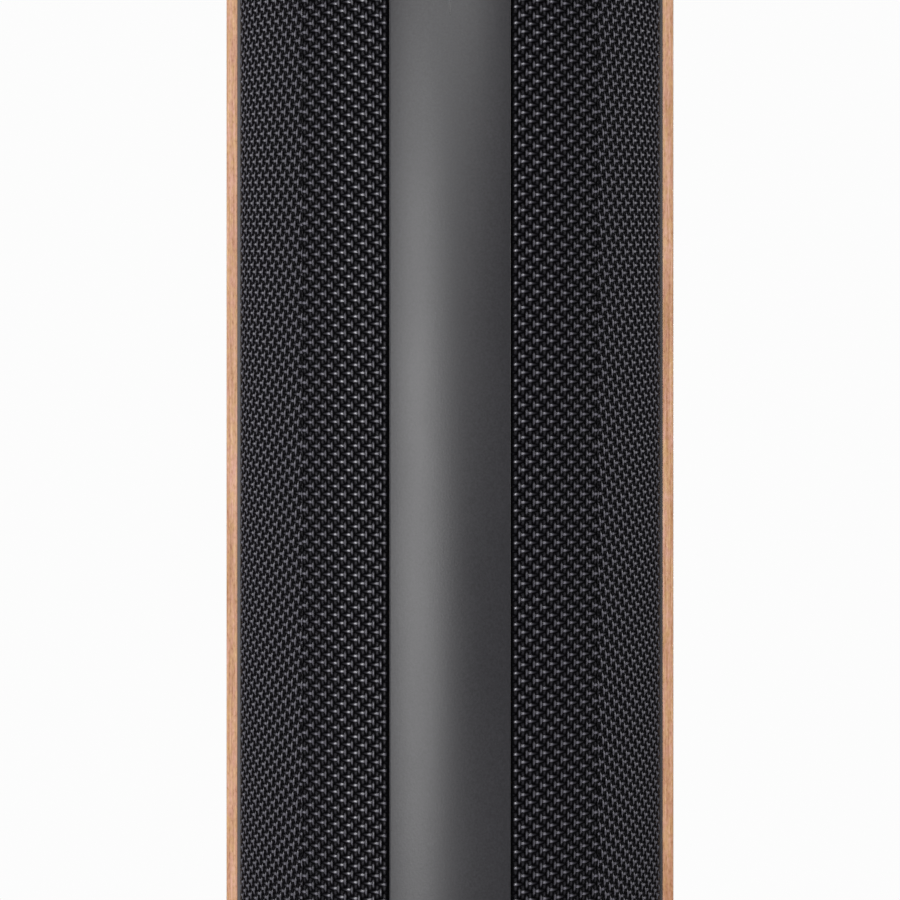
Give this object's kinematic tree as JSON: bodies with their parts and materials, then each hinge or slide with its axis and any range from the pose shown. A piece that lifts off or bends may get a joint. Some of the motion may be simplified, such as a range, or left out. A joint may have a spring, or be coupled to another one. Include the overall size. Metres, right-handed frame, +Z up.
{
  "type": "floorstanding speaker",
  "caption": "Tall floorstanding speaker column with a rounded cloth front split by a satin spine, bent wooden sides, pull-off grilles, moving drivers, rear port and levelling feet.",
  "frame": {"origin": "on the floor under the middle of the speaker's bounding box", "axes": "+Z up along the column, the curved front faces -Y, +X to the right of someone looking at the front"},
  "size_m": [0.26, 0.32, 1.1],
  "materials": {
    "wood": "satin veneer",
    "fibreboard": "raw fibreboard",
    "black_panel": "black satin lacquer on fibreboard",
    "spine": "dark grey satin",
    "trim": "dark grey",
    "light_guide": "smoked clear",
    "cloth": "glossy coated yarn, woven",
    "black_plastic": "moulded",
    "rubber": "moulded rubber",
    "basket": "die-cast, black painted",
    "cone": "coated paper cone",
    "spider": "resin-dipped cotton",
    "ferrite": "ferrite ring",
    "steel": "zinc plated",
    "screw_black": "black oxide",
    "dome": "coated silk",
    "brass": "gold plated",
    "cap_red": "red",
    "cap_black": "black",
    "pcb": "circuit board",
    "copper": "enamelled copper wire and wrapped film",
    "padding": "polyester wool"
  },
  "bodies": {
    "cabinet": {"side_panel_left": "wood", "inner_wall_left": "fibreboard", "baffle_left": "black_panel", "edge_trim_left": "trim", "woofer_basket_lower_left": "basket", "woofer_surround_lower_left": "rubber", "woofer_basket_upper_left": "basket", "woofer_surround_upper_left": "rubber", "tweeter_plate_left": "basket", "side_panel_right": "wood", "inner_wall_right": "fibreboard", "baffle_right": "black_panel", "edge_trim_right": "trim", "woofer_basket_lower_right": "basket", "woofer_surround_lower_right": "rubber", "woofer_basket_upper_right": "basket", "woofer_surround_upper_right": "rubber", "tweeter_plate_right": "basket", "grille_sockets": "rubber", "driver_screws": "screw_black", "woofer_spiders": "spider", "woofer_magnets": "ferrite", "woofer_yokes": "steel", "tweeter_motors": "ferrite", "spine_beam": "fibreboard", "spine_cover": "spine", "status_light": "light_guide", "top_board": "fibreboard", "bottom_board": "fibreboard", "window_braces": "fibreboard", "rear_panel": "black_panel", "top_cap": "spine", "plinth": "black_panel", "damping_pad": "padding", "terminal_plate": "black_plastic", "binding_post_red": "brass", "binding_post_black": "brass", "port_tube": "black_plastic", "rear_screws": "screw_black", "crossover_board": "pcb", "crossover_parts": "copper", "foot_inserts": "steel"},
    "grille_left": {"grille_frame_left": "black_plastic", "grille_cloth_left": "cloth", "grille_pegs_left": "black_plastic"},
    "cone_lower_left": {"woofer_cone_lower_left": "cone"},
    "cone_upper_left": {"woofer_cone_upper_left": "cone"},
    "dome_left": {"tweeter_dome_left": "dome"},
    "grille_right": {"grille_frame_right": "black_plastic", "grille_cloth_right": "cloth", "grille_pegs_right": "black_plastic"},
    "cone_lower_right": {"woofer_cone_lower_right": "cone"},
    "cone_upper_right": {"woofer_cone_upper_right": "cone"},
    "dome_right": {"tweeter_dome_right": "dome"},
    "cap_red": {"terminal_cap_red": "cap_red"},
    "cap_black": {"terminal_cap_black": "cap_black"},
    "leveller_front_left": {"foot_front_left": "rubber"},
    "leveller_front_right": {"foot_front_right": "rubber"},
    "leveller_rear_left": {"foot_rear_left": "rubber"},
    "leveller_rear_right": {"foot_rear_right": "rubber"}
  },
  "joints": [
    {"name": "grille_left_pull", "type": "slide", "parent": "cabinet", "child": "grille_left", "axis": [-0.6374, -0.7705, 0], "range_m": [0, 0.08]},
    {"name": "grille_right_pull", "type": "slide", "parent": "cabinet", "child": "grille_right", "axis": [0.6374, -0.7705, 0], "range_m": [0, 0.08]},
    {"name": "woofer_lower_left_travel", "type": "slide", "parent": "cabinet", "child": "cone_lower_left", "axis": [-0.6374, -0.7705, 0], "range_m": [-0.004, 0.004], "stiffness_N_per_m": 1000, "deforming": ["woofer_surround_lower_left", "woofer_spiders"]},
    {"name": "woofer_upper_left_travel", "type": "slide", "parent": "cabinet", "child": "cone_upper_left", "axis": [-0.6374, -0.7705, 0], "range_m": [-0.004, 0.004], "stiffness_N_per_m": 1000, "deforming": ["woofer_surround_upper_left"]},
    {"name": "woofer_lower_right_travel", "type": "slide", "parent": "cabinet", "child": "cone_lower_right", "axis": [0.6374, -0.7705, 0], "range_m": [-0.004, 0.004], "stiffness_N_per_m": 1000, "deforming": ["woofer_surround_lower_right"]},
    {"name": "woofer_upper_right_travel", "type": "slide", "parent": "cabinet", "child": "cone_upper_right", "axis": [0.6374, -0.7705, 0], "range_m": [-0.004, 0.004], "stiffness_N_per_m": 1000, "deforming": ["woofer_surround_upper_right"]},
    {"name": "tweeter_left_travel", "type": "slide", "parent": "cabinet", "child": "dome_left", "axis": [-0.6374, -0.7705, 0], "range_m": [-0.0003, 0.0003], "stiffness_N_per_m": 1000},
    {"name": "tweeter_right_travel", "type": "slide", "parent": "cabinet", "child": "dome_right", "axis": [0.6374, -0.7705, 0], "range_m": [-0.0003, 0.0003], "stiffness_N_per_m": 1000},
    {"name": "terminal_cap_red_turn", "type": "hinge", "parent": "cabinet", "child": "cap_red", "pos_m": [0.0095, 0.145, 0.12], "axis": [0, 1, 0], "range_deg": [0, 1080]},
    {"name": "terminal_cap_black_turn", "type": "hinge", "parent": "cabinet", "child": "cap_black", "pos_m": [-0.0095, 0.145, 0.12], "axis": [0, 1, 0], "range_deg": [0, 1080]},
    {"name": "foot_front_left_turn", "type": "hinge", "parent": "cabinet", "child": "leveller_front_left", "pos_m": [-0.088, -0.07, 0.01], "axis": [0, 0, 1], "range_deg": [0, 1440]},
    {"name": "foot_front_right_turn", "type": "hinge", "parent": "cabinet", "child": "leveller_front_right", "pos_m": [0.088, -0.07, 0.01], "axis": [0, 0, 1], "range_deg": [0, 1440]},
    {"name": "foot_rear_left_turn", "type": "hinge", "parent": "cabinet", "child": "leveller_rear_left", "pos_m": [-0.088, 0.112, 0.01], "axis": [0, 0, 1], "range_deg": [0, 1440]},
    {"name": "foot_rear_right_turn", "type": "hinge", "parent": "cabinet", "child": "leveller_rear_right", "pos_m": [0.088, 0.112, 0.01], "axis": [0, 0, 1], "range_deg": [0, 1440]}
  ],
  "couplings": [
    {"joint": "woofer_upper_left_travel", "follows": "woofer_lower_left_travel", "ratio": 1},
    {"joint": "woofer_lower_right_travel", "follows": "woofer_lower_left_travel", "ratio": 1},
    {"joint": "woofer_upper_right_travel", "follows": "woofer_lower_left_travel", "ratio": 1},
    {"joint": "tweeter_right_travel", "follows": "tweeter_left_travel", "ratio": 1}
  ]
}
